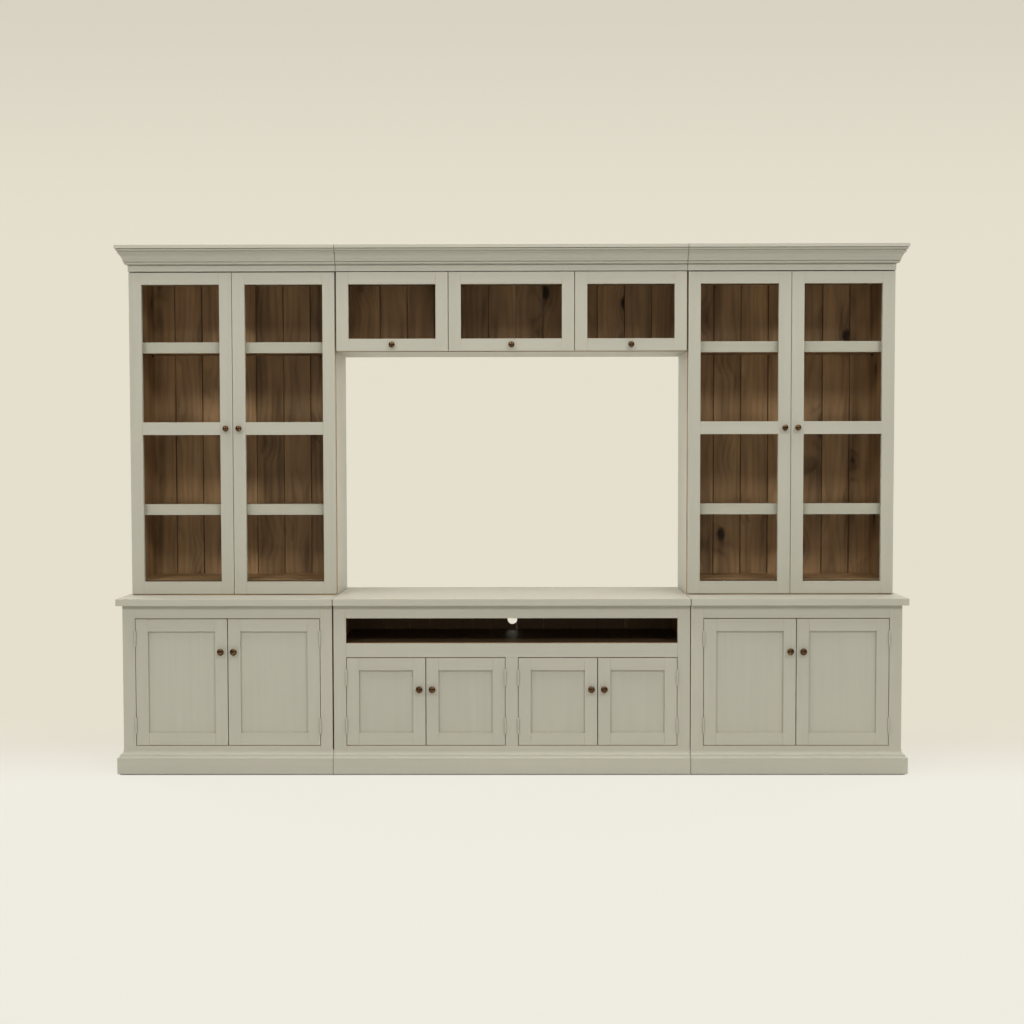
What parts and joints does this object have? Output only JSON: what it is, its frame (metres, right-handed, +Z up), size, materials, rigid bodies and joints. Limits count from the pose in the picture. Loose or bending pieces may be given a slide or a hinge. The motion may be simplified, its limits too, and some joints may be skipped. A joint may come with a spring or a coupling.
{
  "type": "media wall unit",
  "caption": "Painted media wall unit: hinged base cupboards and an open media slot under worktops, with glazed hutches and a flap-fronted bridge framing a television space.",
  "frame": {"origin": "on the floor, under the middle of the bounding box", "axes": "+X along the unit to the viewer's right, +Y from the doors towards the wall, +Z up"},
  "size_m": [3.164, 0.5008, 2.1],
  "materials": {
    "sage_paint": "brushed eggshell paint in sage grey over pine",
    "stained_pine": "dark stained and waxed pine boards",
    "clear_glass": "clear float glass",
    "aged_bronze": "dark aged bronze, rubbed on the high spots"
  },
  "bodies": {
    "cabinet": {"base_centre_back": "stained_pine", "base_centre_carcass": "sage_paint", "base_centre_plinth": "sage_paint", "base_centre_worktop": "sage_paint", "base_left_carcass": "sage_paint", "base_left_plinth": "sage_paint", "base_left_worktop": "sage_paint", "base_right_carcass": "sage_paint", "base_right_plinth": "sage_paint", "base_right_worktop": "sage_paint", "bridge_back": "stained_pine", "bridge_carcass": "sage_paint", "bridge_cornice": "sage_paint", "hutch_left_back": "stained_pine", "hutch_left_carcass": "sage_paint", "hutch_left_cornice": "sage_paint", "hutch_left_shelf_lower": "sage_paint", "hutch_left_shelf_upper": "sage_paint", "hutch_right_back": "stained_pine", "hutch_right_carcass": "sage_paint", "hutch_right_cornice": "sage_paint", "hutch_right_shelf_lower": "sage_paint", "hutch_right_shelf_upper": "sage_paint"},
    "base_left_door_l": {"base_left_door_l": "sage_paint", "base_left_door_l_knob": "aged_bronze"},
    "base_left_door_r": {"base_left_door_r": "sage_paint", "base_left_door_r_knob": "aged_bronze"},
    "base_right_door_l": {"base_right_door_l": "sage_paint", "base_right_door_l_knob": "aged_bronze"},
    "base_right_door_r": {"base_right_door_r": "sage_paint", "base_right_door_r_knob": "aged_bronze"},
    "base_centre_door_1": {"base_centre_door_1": "sage_paint", "base_centre_door_1_knob": "aged_bronze"},
    "base_centre_door_2": {"base_centre_door_2": "sage_paint", "base_centre_door_2_knob": "aged_bronze"},
    "base_centre_door_3": {"base_centre_door_3": "sage_paint", "base_centre_door_3_knob": "aged_bronze"},
    "base_centre_door_4": {"base_centre_door_4": "sage_paint", "base_centre_door_4_knob": "aged_bronze"},
    "hutch_left_door_l": {"hutch_left_door_l": "sage_paint", "hutch_left_door_l_glass": "clear_glass", "hutch_left_door_l_knob": "aged_bronze"},
    "hutch_left_door_r": {"hutch_left_door_r": "sage_paint", "hutch_left_door_r_glass": "clear_glass", "hutch_left_door_r_knob": "aged_bronze"},
    "hutch_right_door_l": {"hutch_right_door_l": "sage_paint", "hutch_right_door_l_glass": "clear_glass", "hutch_right_door_l_knob": "aged_bronze"},
    "hutch_right_door_r": {"hutch_right_door_r": "sage_paint", "hutch_right_door_r_glass": "clear_glass", "hutch_right_door_r_knob": "aged_bronze"},
    "bridge_flap_left": {"bridge_flap_left": "sage_paint", "bridge_flap_left_glass": "clear_glass", "bridge_flap_left_knob": "aged_bronze"},
    "bridge_flap_centre": {"bridge_flap_centre": "sage_paint", "bridge_flap_centre_glass": "clear_glass", "bridge_flap_centre_knob": "aged_bronze"},
    "bridge_flap_right": {"bridge_flap_right": "sage_paint", "bridge_flap_right_glass": "clear_glass", "bridge_flap_right_knob": "aged_bronze"}
  },
  "joints": [
    {"name": "base_left_door_l_hinge", "type": "hinge", "parent": "cabinet", "child": "base_left_door_l", "pos_m": [-1.488, -0.2296, 0.3649], "axis": [0, 0, -1], "range_deg": [0, 170]},
    {"name": "base_left_door_r_hinge", "type": "hinge", "parent": "cabinet", "child": "base_left_door_r", "pos_m": [-0.7575, -0.2296, 0.3649], "axis": [0, 0, 1], "range_deg": [0, 90]},
    {"name": "base_right_door_l_hinge", "type": "hinge", "parent": "cabinet", "child": "base_right_door_l", "pos_m": [0.7575, -0.2296, 0.3649], "axis": [0, 0, -1], "range_deg": [0, 90]},
    {"name": "base_right_door_r_hinge", "type": "hinge", "parent": "cabinet", "child": "base_right_door_r", "pos_m": [1.488, -0.2296, 0.3649], "axis": [0, 0, 1], "range_deg": [0, 170]},
    {"name": "base_centre_door_1_hinge", "type": "hinge", "parent": "cabinet", "child": "base_centre_door_1", "pos_m": [-0.6535, -0.2296, 0.2875], "axis": [0, 0, -1], "range_deg": [0, 90]},
    {"name": "base_centre_door_2_hinge", "type": "hinge", "parent": "cabinet", "child": "base_centre_door_2", "pos_m": [-0.02575, -0.2296, 0.2875], "axis": [0, 0, 1], "range_deg": [0, 90]},
    {"name": "base_centre_door_3_hinge", "type": "hinge", "parent": "cabinet", "child": "base_centre_door_3", "pos_m": [0.02575, -0.2296, 0.2875], "axis": [0, 0, -1], "range_deg": [0, 90]},
    {"name": "base_centre_door_4_hinge", "type": "hinge", "parent": "cabinet", "child": "base_centre_door_4", "pos_m": [0.6535, -0.2296, 0.2875], "axis": [0, 0, 1], "range_deg": [0, 90]},
    {"name": "hutch_left_door_l_hinge", "type": "hinge", "parent": "cabinet", "child": "hutch_left_door_l", "pos_m": [-1.5365, -0.0846, 1.3695], "axis": [0, 0, -1], "range_deg": [0, 110]},
    {"name": "hutch_left_door_r_hinge", "type": "hinge", "parent": "cabinet", "child": "hutch_left_door_r", "pos_m": [-0.709, -0.0846, 1.3695], "axis": [0, 0, 1], "range_deg": [0, 90]},
    {"name": "hutch_right_door_l_hinge", "type": "hinge", "parent": "cabinet", "child": "hutch_right_door_l", "pos_m": [0.709, -0.0846, 1.3695], "axis": [0, 0, -1], "range_deg": [0, 90]},
    {"name": "hutch_right_door_r_hinge", "type": "hinge", "parent": "cabinet", "child": "hutch_right_door_r", "pos_m": [1.5365, -0.0846, 1.3695], "axis": [0, 0, 1], "range_deg": [0, 110]},
    {"name": "bridge_flap_left_hinge", "type": "hinge", "parent": "cabinet", "child": "bridge_flap_left", "pos_m": [-0.4796, -0.0846, 1.9955], "axis": [-1, 0, 0], "range_deg": [0, 90]},
    {"name": "bridge_flap_centre_hinge", "type": "hinge", "parent": "cabinet", "child": "bridge_flap_centre", "pos_m": [0, -0.0846, 1.9955], "axis": [-1, 0, 0], "range_deg": [0, 90]},
    {"name": "bridge_flap_right_hinge", "type": "hinge", "parent": "cabinet", "child": "bridge_flap_right", "pos_m": [0.4796, -0.0846, 1.9955], "axis": [-1, 0, 0], "range_deg": [0, 90]}
  ]
}
